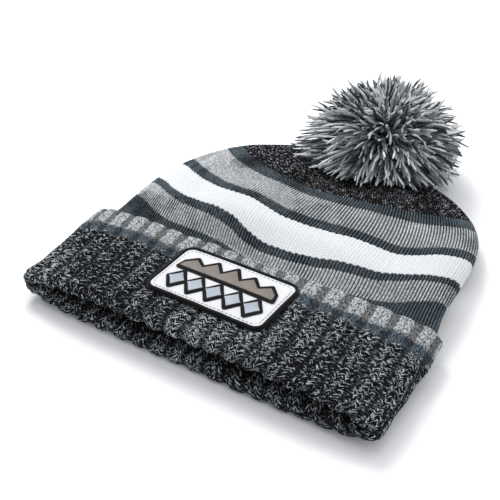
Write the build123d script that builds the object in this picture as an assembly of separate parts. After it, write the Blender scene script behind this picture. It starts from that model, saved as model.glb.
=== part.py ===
from build123d import *
import os
from math import exp, sqrt

# A knitted cuffed hat with a cut-yarn pom, lying on its back. Working frame: Y runs from the rim
# (y = 0) to the crown, X across the hat, Z up from the table. Everything is moved at the end so
# that the origin is the middle of the footprint, on the table.

# ---- driving dimensions (mm) ----
HAT_LENGTH = 222.0        # rim to the end of the crown
CUFF_WIDTH = 220.0        # across the flattened cuff
CUFF_DEPTH = 72.0         # rim to the cuff's free edge
CUFF_LAYER = 4.5          # one layer of the chunky rib
CUFF_RIM_HEIGHT = 26.0    # four layers and the gap at the rim
CUFF_EDGE_HEIGHT = 27.5   # at the free edge, where the body swells under it
BODY_WIDTH = 204.0        # across the flattened body
BODY_WALL = 3.0           # one layer of the fine rib
BODY_HEIGHT = 24.5        # flattened body near the crown
BODY_PUFF = 10.0          # extra height where the body is fullest
PUFF_PLACE = 112.0        # from the rim
PUFF_SPREAD = 55.0
LEAN = -0.055             # sideways drift of the middle line, per mm towards the crown
RIM_SHIFT = 2.6           # middle line at the rim
FOLD_SHARE = 0.42         # rounded share of each half at the side folds
FIT_GAP = 0.3             # clearance between layers that only touch

# Colour changes of the cuff, from the rim
CUFF_SLATE_FROM = 47.5
CUFF_GREY_FROM = 54.0
# The part of the front cuff that lifts
FLAP_HALF_WIDTH = 84.0
FLAP_FROM = 12.0

# Stripe edges of the body are arcs about this point beyond the crown, given by their radii
STRIPE_CENTRE = (-4.0, 243.0)
MARL_END = 200.0
STRIPES = [
    ("slate_stripe_1", 176.0),
    ("light_grey_stripe_1", 163.5),
    ("slate_stripe_2", 158.5),
    ("white_stripe", 139.5),
    ("slate_stripe_3", 132.0),
    ("light_grey_stripe_2", 108.5),
    ("slate_stripe_4", 98.0),
    ("crown_black_marl", 0.0),
]

# Patch on the front of the cuff
PATCH_WIDTH = 72.0
PATCH_HEIGHT = 42.0
PATCH_CORNER = 6.0
PATCH_FROM_RIM = 39.5     # rim to the middle of the patch
PATCH_SEAT = 0.8          # how far it presses into the rib
PATCH_BACKING = 1.0
TWILL = 0.9
BORDER_WIDTH = 2.3
BORDER_HEIGHT = 2.7
STITCH_INSET = 1.2        # from the border to the sewing line
STITCH_WIDTH = 0.6
STITCH_HEIGHT = 0.35
EMBROIDERY = 0.5
OUTLINE_MARGIN = 1.5

# Pom and its tie
POM_PAST_CROWN = 3.0      # the pom's middle lies this far past the crown's end
POM_CENTRE = Vector(0.0, HAT_LENGTH + POM_PAST_CROWN, 35.0)
POM_RADIUS = 48.0
POM_HALF_HEIGHT = 38.0
POM_OFF_TABLE = 1.0
SEAM_TURN = 200.0         # turns the ball so that its surface seam meets no cut
TIE_FROM_END = 11.0       # the tie leaves the crown this far short of its end
TIE_PLACE = Vector(0.0, HAT_LENGTH - TIE_FROM_END, 20.5)
TIE_RADIUS = 1.5
TIE_HOLE = 2.4
TIE_BREAK = 0.8           # the inner tails end this far below the hinge
POM_OFF_CROWN = 4.5       # the underside stands off so that the pom can tilt
BINDING_RADIUS = 5.5      # wound round the middle of the yarn bundle
BINDING_WIDTH = 3.0
GATHER_RADIUS = 5.2
GATHER_YARN = 1.1
WASHER_RADIUS = 6.0
WASHER = 1.4
KNOT_RADIUS = 2.8

# Back seam and care label, inside
SEAM_WIDTH = 5.0
SEAM_HEIGHT = 2.0
SEAM_FROM, SEAM_TO = 62.0, 192.0
LABEL = (26.0, 38.0, 0.6)
LABEL_FROM = 110.0

BIG = 600.0


def step(a, b, y):
    """0 before a, 1 after b, smooth between."""
    t = min(max((y - a) / (b - a), 0.0), 1.0)
    return t * t * (3 - 2 * t)


def middle(y):
    return RIM_SHIFT + LEAN * y


def cuff_top(y):
    return CUFF_RIM_HEIGHT + (CUFF_EDGE_HEIGHT - CUFF_RIM_HEIGHT) * y / CUFF_DEPTH


def rim_inset(y):
    """The fold at the rim is a half round of one layer's thickness."""
    if y >= CUFF_LAYER:
        return 0.0
    return CUFF_LAYER - sqrt(CUFF_LAYER**2 - (CUFF_LAYER - y) ** 2)


def section(y, half_width, low, high):
    """A flattened ring of knit at y: flat above and below, with rounded folds at both sides."""
    mid = low + (high - low) * 0.45
    fold = FOLD_SHARE * half_width
    flat = half_width - fold
    edges = [
        Line((-flat, high), (flat, high)),
        EllipticalCenterArc((flat, mid), fold, high - mid, start_angle=0, arc_size=90),
        EllipticalCenterArc((flat, mid), fold, mid - low, start_angle=270, arc_size=90),
        Line((flat, low), (-flat, low)),
        EllipticalCenterArc((-flat, mid), fold, mid - low, start_angle=180, arc_size=90),
        EllipticalCenterArc((-flat, mid), fold, high - mid, start_angle=90, arc_size=90),
    ]
    across = Plane(origin=(middle(y), y, 0), x_dir=(1, 0, 0), z_dir=(0, -1, 0))
    return across * Wire([edge.edge() for edge in edges])


def tube(rows):
    """A closed solid through the sections (y, half_width, low, high)."""
    return Solid.make_loft([section(*row) for row in rows], ruled=True)


def under_cuff(y):
    """1 where the body lies inside the cuff, 0 beyond it."""
    return 1 - step(CUFF_DEPTH, CUFF_DEPTH + 28, y)


def body_half(y, grow=0.0):
    inside_cuff = CUFF_WIDTH / 2 - CUFF_LAYER - FIT_GAP
    half = BODY_WIDTH / 2 + (inside_cuff - BODY_WIDTH / 2) * under_cuff(y)
    start, end = 90.0, HAT_LENGTH + grow
    t = min(max((y - start) / (end - start), 0.0), 1.0)
    return (half + grow) * sqrt(max(1 - t**4, 0.0))


def body_top(y):
    puffed = BODY_HEIGHT + BODY_PUFF * exp(-(((y - PUFF_PLACE) / PUFF_SPREAD) ** 2))
    t = min(max((y - HAT_LENGTH + 45) / 45, 0.0), 1.0)
    puffed *= 0.55 + 0.45 * sqrt(1 - t**2.2)
    w = under_cuff(y)
    return puffed * (1 - w) + (cuff_top(min(y, CUFF_DEPTH)) - CUFF_LAYER - FIT_GAP) * w


def body_low(y):
    return (CUFF_LAYER + FIT_GAP) * under_cuff(y)


def wall(y):
    return CUFF_LAYER + (BODY_WALL - CUFF_LAYER) * step(40, 55, y)


def body_rows(inner):
    start = CUFF_LAYER if not inner else 0.0
    end = HAT_LENGTH - (BODY_WALL if inner else 0.0)
    spots = [start, 6, 20, 45, 60, CUFF_DEPTH, 84, 94, 110, 135, 160, 180]
    spots += [end - 27, end - 16, end - 8.5, end - 3.5, end - 0.8]
    if inner:
        spots[1:1] = [1.2]
    rows = []
    for y in spots:
        if not inner:
            rows.append((y, body_half(y), body_low(y), body_top(y)))
            continue
        w = wall(y)
        flare = -rim_inset(y)
        half = body_half(y, -BODY_WALL) - (w - BODY_WALL)
        rows.append((y, half - flare, body_low(y) + w + flare, body_top(y) - w - flare))
    return rows


def cuff_rows(inner):
    if inner:
        rows = []
        for y in (CUFF_LAYER, CUFF_DEPTH + 1):
            rows.append((y, CUFF_WIDTH / 2 - CUFF_LAYER, CUFF_LAYER, cuff_top(y) - CUFF_LAYER))
        return rows
    rows = []
    for y in (0.0, 1.2, CUFF_LAYER, CUFF_DEPTH):
        r = rim_inset(y)
        rows.append((y, CUFF_WIDTH / 2 - r, r, cuff_top(y) - r))
    return rows


def between(y_from, y_to):
    """Everything between two planes across the hat."""
    return Box(BIG, y_to - y_from, BIG).moved(Location((0, (y_from + y_to) / 2, 0)))


def disc(radius):
    """A tall cylinder about the middle of the stripe arcs."""
    return Cylinder(radius, BIG).moved(Location((*STRIPE_CENTRE, 0)))


parts = {}

# ---- knitted tube: cuff and body ----
body_outer = tube(body_rows(inner=False))
cavity = tube(body_rows(inner=True))
body_shell = body_outer - cavity
cuff_outer = tube(cuff_rows(inner=False))
cuff_ring = cuff_outer - tube(cuff_rows(inner=True)) - cavity

outer_radius = MARL_END
for name, inner_radius in STRIPES:
    piece = body_shell & disc(outer_radius)
    if inner_radius:
        piece -= disc(inner_radius)
    parts[name] = piece
    outer_radius = inner_radius
inner_layer = body_shell - disc(MARL_END)

# ---- front cuff: the middle of its outer layer lifts about the rim ----
flap_zone = Box(2 * FLAP_HALF_WIDTH, BIG, BIG).moved(
    Location((middle(CUFF_DEPTH / 2), FLAP_FROM + BIG / 2, CUFF_RIM_HEIGHT / 2 + BIG / 2)))
flap_clear = Box(2 * (FLAP_HALF_WIDTH + FIT_GAP), BIG, BIG).moved(
    Location((middle(CUFF_DEPTH / 2), FLAP_FROM - FIT_GAP + BIG / 2, CUFF_RIM_HEIGHT / 2 + BIG / 2)))
cuff_bands = [
    ("cuff_marl_rib", 0.0, CUFF_SLATE_FROM),
    ("cuff_slate_band", CUFF_SLATE_FROM, CUFF_GREY_FROM),
    ("cuff_light_grey_edge", CUFF_GREY_FROM, CUFF_DEPTH),
]

# ---- patch ----
slope = (CUFF_EDGE_HEIGHT - CUFF_RIM_HEIGHT) / CUFF_DEPTH
patch_x = middle(PATCH_FROM_RIM)
patch_plane = Plane(
    origin=(patch_x, PATCH_FROM_RIM, cuff_top(PATCH_FROM_RIM) - PATCH_SEAT),
    x_dir=(1, 0, 0), z_dir=(0, -slope, 1))


def on_patch(sketch, low, high):
    """A flat shape of the patch, from low to high above its seat."""
    return patch_plane.location * extrude(sketch.moved(Location((0, 0, low))), high - low)


def patch_outline(inset):
    return RectangleRounded(PATCH_WIDTH - 2 * inset, PATCH_HEIGHT - 2 * inset, PATCH_CORNER - 0.6 * inset)


patch_pocket = on_patch(patch_outline(-0.05), 0, 20)
for name, y_from, y_to in cuff_bands:
    band = cuff_ring & between(y_from, y_to)
    parts[name + "_flap"] = (band & flap_zone) - patch_pocket
    band -= flap_clear
    if y_from == 0:
        band += inner_layer
    parts[name] = band

twill_top = PATCH_BACKING + TWILL
parts["patch_backing"] = on_patch(patch_outline(BORDER_WIDTH), 0, PATCH_BACKING)
parts["patch_twill"] = on_patch(patch_outline(BORDER_WIDTH), PATCH_BACKING, twill_top)
border = on_patch(patch_outline(0) - patch_outline(BORDER_WIDTH), 0, BORDER_HEIGHT)
border_top = [
    edge for edge in border.edges()
    if patch_plane.to_local_coords(edge.center()).Z > BORDER_HEIGHT - 0.1]
parts["patch_merrowed_border"] = fillet(border_top, BORDER_WIDTH * 0.35)
stitch_at = BORDER_WIDTH + STITCH_INSET
parts["patch_sewing_line"] = on_patch(
    patch_outline(stitch_at) - patch_outline(stitch_at + STITCH_WIDTH), twill_top, twill_top + STITCH_HEIGHT)

# Motif: a ridge of five peaks over a row of linked diamonds
MOTIF_WIDTH = 58.0
RIDGE_BASE, RIDGE_VALLEY = 1.9, 7.0
PEAKS = [11.5, 13.8, 14.8, 13.0, 11.5]
DIAMOND_ROW = -8.0
DIAMOND_HALF_HEIGHT = 6.8
pitch = MOTIF_WIDTH / len(PEAKS)
left = -MOTIF_WIDTH / 2
ridge_points = [(left, RIDGE_BASE), (left + 0.1 * pitch, RIDGE_VALLEY)]
for k, peak in enumerate(PEAKS):
    ridge_points.append((left + (k + 0.5) * pitch, peak))
    if k < len(PEAKS) - 1:
        ridge_points.append((left + (k + 1) * pitch, RIDGE_VALLEY))
ridge_points += [(-left - 0.1 * pitch, RIDGE_VALLEY), (-left, RIDGE_BASE)]
ridge = make_face(Polyline(*ridge_points, close=True))
diamonds = Sketch()
for k in range(len(PEAKS)):
    half = pitch / 2 - 0.8
    x = left + (k + 0.5) * pitch
    corners = [(x - half, DIAMOND_ROW), (x, DIAMOND_ROW + DIAMOND_HALF_HEIGHT),
               (x + half, DIAMOND_ROW), (x, DIAMOND_ROW - DIAMOND_HALF_HEIGHT)]
    diamonds += make_face(Polyline(*corners, close=True))
ground = offset(ridge, OUTLINE_MARGIN) + offset(diamonds, OUTLINE_MARGIN)
ground_top = twill_top + EMBROIDERY
parts["motif_black_outline"] = on_patch(ground, twill_top, ground_top)
parts["motif_taupe_ridge"] = on_patch(ridge, ground_top, ground_top + EMBROIDERY)
parts["motif_silver_diamonds"] = on_patch(diamonds, ground_top, ground_top + EMBROIDERY)

# ---- pom and its tie ----
tie_axis = (POM_CENTRE - TIE_PLACE).normalized()
tie_plane = Plane(origin=TIE_PLACE, z_dir=tie_axis)
tie_length = (POM_CENTRE - TIE_PLACE).length


def along_tie(shape, height):
    return tie_plane.location * shape.moved(Location((0, 0, height)))


def rod(radius, low, high):
    return along_tie(Cylinder(radius, high - low), (low + high) / 2)


ball_height = POM_HALF_HEIGHT / POM_RADIUS
pom_ball = scale(Sphere(POM_RADIUS), by=(1, 1, ball_height))
pom_ball = pom_ball.rotate(Axis.Z, SEAM_TURN).moved(Location(POM_CENTRE))
pom = pom_ball & along_tie(Box(BIG, BIG, BIG), POM_OFF_CROWN + BIG / 2)
pom &= Box(BIG, BIG, BIG).moved(Location((POM_CENTRE.X, POM_CENTRE.Y, POM_OFF_TABLE + BIG / 2)))
binding = rod(BINDING_RADIUS, tie_length - BINDING_WIDTH / 2, tie_length + BINDING_WIDTH / 2)
tie_bore = rod(TIE_RADIUS + FIT_GAP, -5, tie_length + BINDING_WIDTH / 2)
parts["pom_yarn"] = pom - binding - tie_bore
parts["pom_binding_thread"] = binding - tie_bore
parts["pom_tie_cord"] = rod(TIE_RADIUS, FIT_GAP, tie_length - FIT_GAP)

gather = along_tie(Torus(GATHER_RADIUS, GATHER_YARN), -0.6)
tie_hole = rod(TIE_HOLE, -12, 12)
crown = parts["crown_black_marl"]
parts["crown_gather_yarn"] = gather
parts["crown_black_marl"] = crown - tie_hole - gather
washer = rod(WASHER_RADIUS, -BODY_WALL - 3 - WASHER, -BODY_WALL) & cavity
parts["inside_felt_washer"] = washer - rod(TIE_RADIUS, -20, 5)
knot_at = -BODY_WALL - 3 - WASHER - KNOT_RADIUS + 0.6
knot = along_tie(Sphere(KNOT_RADIUS), knot_at) + rod(TIE_RADIUS, knot_at, -TIE_BREAK)
parts["inside_tie_knot"] = knot - (washer - rod(TIE_RADIUS, -20, 5))

# ---- back seam and care label, inside on the underside ----
seam_x = middle((SEAM_FROM + SEAM_TO) / 2)
seam_floor = BODY_WALL + SEAM_HEIGHT
seam_box = Box(SEAM_WIDTH, SEAM_TO - SEAM_FROM, 2 * seam_floor).moved(
    Location((seam_x, (SEAM_FROM + SEAM_TO) / 2, 0)))
parts["back_seam"] = seam_box & cavity
label_x = seam_x - SEAM_WIDTH / 2 + LABEL[0] / 2
label_y = LABEL_FROM + LABEL[1] / 2
parts["care_label"] = Box(*LABEL).moved(Location((label_x, label_y, seam_floor + LABEL[2] / 2)))
stitch = Box(1.0, LABEL[1] - 4, 0.4).moved(
    Location((seam_x - SEAM_WIDTH / 4, label_y, seam_floor + LABEL[2] + 0.2)))
parts["care_label_stitches"] = stitch

# ---- move to the middle of the footprint and write ----
whole = Compound(children=[Compound(p.solids()) for p in parts.values()]).bounding_box()
shift = Location((-(whole.min.X + whole.max.X) / 2, -(whole.min.Y + whole.max.Y) / 2, -whole.min.Z))
os.makedirs("parts", exist_ok=True)
for name, piece in parts.items():
    export_step(Compound(piece.solids()).moved(shift), f"parts/{name}.step")
print("size", whole.size, "shift", shift.position)
print("cuff hinge", Vector(0, FLAP_FROM - FIT_GAP / 2, cuff_top(FLAP_FROM)) + shift.position)
print("tie hinge", TIE_PLACE + shift.position, "tie axis", tie_axis)
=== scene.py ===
import math
import random

import bpy
import numpy as np
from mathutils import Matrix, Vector


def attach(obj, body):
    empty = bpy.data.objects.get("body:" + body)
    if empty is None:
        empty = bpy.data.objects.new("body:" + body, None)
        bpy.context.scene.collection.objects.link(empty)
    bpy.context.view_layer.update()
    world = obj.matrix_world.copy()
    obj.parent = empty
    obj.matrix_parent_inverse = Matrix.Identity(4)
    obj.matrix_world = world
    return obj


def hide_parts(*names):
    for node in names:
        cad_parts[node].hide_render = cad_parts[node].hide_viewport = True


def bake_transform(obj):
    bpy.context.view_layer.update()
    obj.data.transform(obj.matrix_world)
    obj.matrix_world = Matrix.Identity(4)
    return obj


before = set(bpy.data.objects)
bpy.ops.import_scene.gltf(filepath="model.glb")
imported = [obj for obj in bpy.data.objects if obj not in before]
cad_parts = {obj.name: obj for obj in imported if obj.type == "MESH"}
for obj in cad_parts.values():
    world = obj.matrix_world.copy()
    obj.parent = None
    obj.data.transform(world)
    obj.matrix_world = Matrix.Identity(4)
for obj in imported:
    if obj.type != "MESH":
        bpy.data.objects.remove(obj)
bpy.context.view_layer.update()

# ---- The hat's form ----
# The knit tube lies flat on its back: rounded folds at both sides, fuller a third of the way up,
# and drawn together at the crown. All lengths here are millimetres, measured from the rim.
HAT_LENGTH = 222.0
CUFF_WIDTH = 220.0
CUFF_DEPTH = 72.0
CUFF_LAYER = 4.5
BODY_WIDTH = 204.0
FIT_GAP = 0.3
RIM_HEIGHT, EDGE_RISE = 26.0, 1.5
BODY_HEIGHT, BODY_PUFF = 24.5, 10.0
PUFF_PLACE, PUFF_SPREAD = 112, 55
RIM_SHIFT, LEAN = 2.6, 0.055
CROWN_FROM = 90.0
# the knitted rows are arcs about this point beyond the crown
ARC_CENTRE = (-4.0, 243.0)


def to_frame(points):
    """Millimetres from the rim's middle to the hat's own frame, in metres."""
    return (np.asarray(points, float) - (0.49625, 136.5, 0.0)) / 1000.0


def smooth(start, end, value):
    """0 at start, 1 at end, easing in and out between them."""
    t = np.clip((value - start) / (end - start), 0, 1)
    return t * t * (3 - 2 * t)


def middle(y):
    """The hat's middle line leans a little to the left towards the crown."""
    return RIM_SHIFT - LEAN * y


def under_cuff(y):
    """1 where the body lies inside the cuff, 0 where it is free of it."""
    return 1 - smooth(CUFF_DEPTH, CUFF_DEPTH + 28, y)


def crown_share(y):
    """How far the sides have drawn in: 0 below the crown, 1 at its end."""
    return np.clip((y - CROWN_FROM) / (HAT_LENGTH - CROWN_FROM), 0, 1) ** 4


def body_half(y):
    return BODY_WIDTH / 2 + (CUFF_WIDTH / 2 - CUFF_LAYER - FIT_GAP - BODY_WIDTH / 2) * under_cuff(y)


def cuff_top(y):
    return RIM_HEIGHT + EDGE_RISE * np.clip(y, 0, CUFF_DEPTH) / CUFF_DEPTH


def ripple(x, y):
    """The body doesn't lie quite flat: a hollow towards the right and a swell left of the middle."""
    hollow = -4.5 * np.exp(-(((x - 66) / 15) ** 2) - ((y - 128) / 50) ** 2)
    swell = 3.5 * np.exp(-(((x + 36) / 22) ** 2) - ((y - 92) / 18) ** 2)
    small = 0.8 * np.sin(x / 17 + 1.3 * np.sin(y / 31)) * np.sin(y / 23 + 0.7)
    return (hollow + swell + small * (1 - under_cuff(y))) * smooth(72, 90, y)


def body_heights(x, y):
    """Lowest, middle and highest z of the tube's outer face over a point."""
    w = under_cuff(y)
    puffed = BODY_HEIGHT + BODY_PUFF * np.exp(-(((y - PUFF_PLACE) / PUFF_SPREAD) ** 2))
    high = puffed * (1 - w) + (cuff_top(y) - CUFF_LAYER - FIT_GAP) * w
    low = (CUFF_LAYER + FIT_GAP) * w
    mid = low + (high - low) * 0.45
    spread = np.sqrt(np.clip(((x - middle(y)) / body_half(y)) ** 2 + crown_share(y), 0, 1))
    top = mid + (high + ripple(x, y) - mid) * np.sqrt(1 - spread**2.8)
    bottom = mid - (mid - low) * np.sqrt(1 - spread**4)
    return bottom, mid, top


# ---- The finely ribbed body ----
# One by one rib of fine yarn, about 240 ribs round, in eight stripes of four yarns. Rows follow
# arcs that sink towards the sides, and every rib runs up into the gathered crown.
RIBS = 240
ROW = 1.45
MARL_END = 200.0
CROWN_RADIUS = 98.0
GATHER_SHIFT = 0.14
BODY_LAYER = 2.6
RIB_RELIEF, FLAT_RELIEF = 0.95, 0.35
TABLE_STEPS = 1440
HALF_STEPS = 130


def mesh_object(name, points, faces, uv):
    """A smooth-shaded mesh; its UVs count ribs and rows of the knit, or threads."""
    mesh = bpy.data.meshes.new(name)
    points = np.asarray(points, np.float32)
    faces = np.asarray(faces, np.int32)
    mesh.vertices.add(len(points))
    mesh.vertices.foreach_set("co", points.ravel())
    mesh.loops.add(faces.size)
    mesh.loops.foreach_set("vertex_index", faces.ravel())
    mesh.polygons.add(len(faces))
    mesh.polygons.foreach_set("loop_start", np.arange(0, faces.size, faces.shape[1], dtype=np.int32))
    mesh.update(calc_edges=True)
    layer = mesh.uv_layers.new(name="knit")
    layer.data.foreach_set("uv", np.asarray(uv, np.float32).reshape(-1, 2)[faces.ravel()].ravel())
    mesh.polygons.foreach_set("use_smooth", np.full(len(faces), True))
    mesh.validate()
    obj = bpy.data.objects.new(name, mesh)
    bpy.context.scene.collection.objects.link(obj)
    return obj


def grid_faces(rows, columns, wrap=False, start=0):
    """Quads of a grid of points, rows first, facing the side that columns x rows points to."""
    i, j = np.meshgrid(np.arange(rows - 1), np.arange(columns if wrap else columns - 1), indexing="ij")
    k = (j + 1) % columns
    quads = np.stack([i * columns + j, i * columns + k, (i + 1) * columns + k, (i + 1) * columns + j], -1)
    return start + quads.reshape(-1, 4)


def normals_of(grid):
    """Unit normals of a (rows, columns, 3) grid of points that closes round its columns."""
    across = np.roll(grid, -1, 1) - np.roll(grid, 1, 1)
    along = np.gradient(grid, axis=0)
    normal = np.cross(across, along)
    return normal / np.maximum(np.linalg.norm(normal, axis=-1, keepdims=True), 1e-9)


def even_ring(points, count):
    """Points at equal steps of arc length round a closed curve."""
    closed = np.vstack([points, points[:1]])
    length = np.concatenate([[0], np.cumsum(np.linalg.norm(np.diff(closed, axis=0), axis=1))])
    wanted = np.arange(count) / count * length[-1]
    return np.stack([np.interp(wanted, length, closed[:, k]) for k in range(3)], -1)


def stripe_ring(radius):
    """The closed curve of one knitted row, from the middle of the back round to it again."""
    ends = []
    for side in (-1, 1):
        near, far = 0.0, math.radians(100)
        for _ in range(30):
            angle = (near + far) / 2
            x = ARC_CENTRE[0] + radius * math.sin(side * angle)
            y = ARC_CENTRE[1] - radius * math.cos(angle)
            inside = ((x - middle(y)) / body_half(y)) ** 2 + crown_share(y) < 1 and y < HAT_LENGTH
            near, far = (angle, far) if inside else (near, angle)
        ends.append(side * near)
    share = (1 - np.cos(np.linspace(0, math.pi, 2 * HALF_STEPS))) / 2
    angle = ends[0] + (ends[1] - ends[0]) * share
    # the arcs aren't true circles: they pull up left of the middle and sag right of it
    bearing = np.degrees(angle)
    warp = -4.5 * np.exp(-((bearing + 11) / 9) ** 2) + 6.0 * np.exp(-((bearing - 28) / 9) ** 2)
    warp = warp - 5.0 * np.exp(-((bearing + 5) / 13) ** 2) * smooth(164, 176, radius)
    warped = radius + warp * smooth(85, 135, radius) * np.sin(np.pi * share) ** 0.3
    x_top = ARC_CENTRE[0] + warped * np.sin(angle)
    y_top = ARC_CENTRE[1] - warped * np.cos(angle)
    x_low = ARC_CENTRE[0] + radius * np.sin(angle)
    y_low = ARC_CENTRE[1] - radius * np.cos(angle)
    top = np.stack([x_top, y_top, body_heights(x_top, y_top)[2]], -1)
    bottom = np.stack([x_low, y_low, body_heights(x_low, y_low)[0]], -1)
    ring = np.vstack([bottom[HALF_STEPS::-1], top[1:], bottom[-2:HALF_STEPS:-1]])
    return even_ring(ring, TABLE_STEPS)


TIP_RADIUS = ARC_CENTRE[1] - HAT_LENGTH + 0.4
ring_radii = np.linspace(TIP_RADIUS, 206.0, 186)
ring_table = np.array([stripe_ring(r) for r in ring_radii])


def on_body(radius, turn):
    """Points on the body for rows (arc radius) and turns (0 to 1 from the middle of the back)."""
    row = np.clip((radius - ring_radii[0]) / (ring_radii[1] - ring_radii[0]), 0, len(ring_radii) - 1.001)
    column = (turn % 1.0) * TABLE_STEPS
    r0, c0 = row.astype(int), column.astype(int) % TABLE_STEPS
    fr, fc = (row - r0)[..., None], (column - np.floor(column))[..., None]
    c1 = (c0 + 1) % TABLE_STEPS
    near = ring_table[r0, c0] * (1 - fc) + ring_table[r0, c1] * fc
    far = ring_table[r0 + 1, c0] * (1 - fc) + ring_table[r0 + 1, c1] * fc
    return near * (1 - fr) + far * fr


def crown_place(share, turn):
    """Rows inside the crown close in on the gather, which lies on the upper side of the tip."""
    w = share * np.exp(2j * np.pi * turn)
    zeta = w - GATHER_SHIFT * (1 - np.abs(w) ** 2)
    radius = TIP_RADIUS + (CROWN_RADIUS - TIP_RADIUS) * np.abs(zeta)
    return on_body(radius, np.angle(zeta) / (2 * np.pi))


def rib_height(rib, row, depth):
    """Height of the knit over its middle: one plump rib of nested stitches, then a sunk one."""
    plump_share = 0.62
    u = rib - np.floor(rib) - 0.5
    crest = np.clip(1 - (np.abs(u) / (0.5 * plump_share)) ** 2.2, 0, 1) ** 0.55
    arm = row + 1.1 * np.abs(u)
    stitch = np.abs(np.sin(np.pi * arm)) ** 0.7
    return depth * (crest * (0.72 + 0.28 * stitch) - 0.45)


def wobble(a, b, seed, scale):
    """A smooth, repeatable unevenness between about -1 and 1."""
    draw = random.Random(seed)
    total = 0.0 * a
    for _ in range(5):
        turn = draw.uniform(0, math.tau)
        pace = draw.uniform(0.6, 1.7) / scale
        phase = draw.uniform(0, math.tau)
        total = total + np.sin((a * math.cos(turn) + b * math.sin(turn)) * pace * math.tau + phase)
    return total / 3.0


def knit_stripe(name, outer_radius, inner_radius, per_rib, per_row, relief):
    """One colour of the body: stitched outer face, plain inner face, and its two edges."""
    columns = RIBS * per_rib
    turn = np.arange(columns) / columns
    length = outer_radius - max(inner_radius, TIP_RADIUS)
    if inner_radius:
        row_count = int(length / ROW * per_row) + 1
        share = np.linspace(0, 1, row_count)
        radius = outer_radius + (inner_radius - outer_radius) * share
        # toothed colour change: every other rib carries its colour a little further
        tooth = (0.30 + 0.12 * wobble(turn * RIBS, 0 * turn, 61, 9)) * np.cos(math.pi * turn * RIBS)
        lead = (tooth + 0.35 * wobble(turn * RIBS, 0 * turn, 62, 14))[None] * np.ones((row_count, 1))
        base = on_body(radius[:, None] + lead, np.repeat(turn[None], row_count, 0))
    else:
        row_count = int(CROWN_RADIUS / ROW * per_row) + 1
        share = np.linspace(0, 1, row_count)
        inward = 1 - share * 0.965
        base = crown_place(np.repeat(inward[:, None], columns, 1), np.repeat(turn[None], row_count, 0))
        radius = outer_radius - length * share
    normal = normals_of(base)
    rib = np.repeat((turn * RIBS)[None], row_count, 0)
    row = np.repeat((-radius / ROW)[:, None], columns, 1)
    drift = 0.16 * wobble(base[..., 0], base[..., 1], 11, 46) + 0.06 * wobble(rib, row, 7, 9)
    depth = relief * (1 + 0.18 * wobble(base[..., 0], base[..., 1], 5, 30))
    folds = 0.0
    if not inner_radius:
        # near the gather the ribs flatten and every twelve of them bunch into one fold
        depth = depth * (0.35 + 0.65 * inward[:, None] ** 0.6)
        folds = 1.6 * np.exp(-((inward[:, None] / 0.33) ** 2)) * np.cos(rib * math.tau / 12.0)
    height = rib_height(rib + drift, row + 0.12 * wobble(rib, row, 3, 5), depth) + folds
    outer = base + normal * height[..., None]
    points, uvs = [outer.reshape(-1, 3)], [np.stack([rib, row], -1).reshape(-1, 2)]
    faces = [grid_faces(row_count, columns, True)]
    inner_rows = max(row_count // 6, 3)
    pick = np.round(np.linspace(0, row_count - 1, inner_rows)).astype(int)
    inner = base[pick] - normal[pick] * BODY_LAYER
    inner[..., 2] = np.clip(inner[..., 2], 1.0, None)
    start = row_count * columns
    points.append(inner.reshape(-1, 3))
    uvs.append(np.stack([rib[pick], row[pick]], -1).reshape(-1, 2))
    faces.append(grid_faces(inner_rows, columns, True, start)[:, ::-1])
    j = np.arange(columns)
    k = (j + 1) % columns
    last_row, last_inner_row = (row_count - 1) * columns, start + (inner_rows - 1) * columns
    for a, b, order in ((0, start, 1), (last_row, last_inner_row, -1)):
        faces.append(np.stack([b + j, b + k, a + k, a + j], -1)[:, ::order])
    points = np.vstack(points)
    points[:, 2] = np.clip(points[:, 2], 0.05, None)
    return mesh_object(name, to_frame(points), np.vstack(faces), np.vstack(uvs))


class Sum:
    """A shader value that can be added, subtracted and multiplied as in ordinary arithmetic."""

    def __init__(self, tree, socket):
        self.tree, self.socket = tree, socket

    def math(self, operation, other=None):
        node = self.tree.nodes.new("ShaderNodeMath")
        node.operation = operation
        for k, value in enumerate((self, other)):
            if isinstance(value, Sum):
                self.tree.links.new(value.socket, node.inputs[k])
            elif value is not None:
                node.inputs[k].default_value = value
        return Sum(self.tree, node.outputs[0])

    def __add__(self, other):
        return self.math("ADD", other)

    def __sub__(self, other):
        return self.math("SUBTRACT", other)

    def __mul__(self, other):
        return self.math("MULTIPLY", other)

    def __rsub__(self, other):
        return (self * -1.0) + other

    __radd__, __rmul__ = __add__, __mul__

    def step(self, low, high):
        """0 below low, 1 above high, smooth between."""
        node = self.tree.nodes.new("ShaderNodeMapRange")
        node.interpolation_type = "SMOOTHSTEP"
        node.inputs["From Min"].default_value, node.inputs["From Max"].default_value = low, high
        self.tree.links.new(self.socket, node.inputs["Value"])
        return Sum(self.tree, node.outputs[0])


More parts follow.
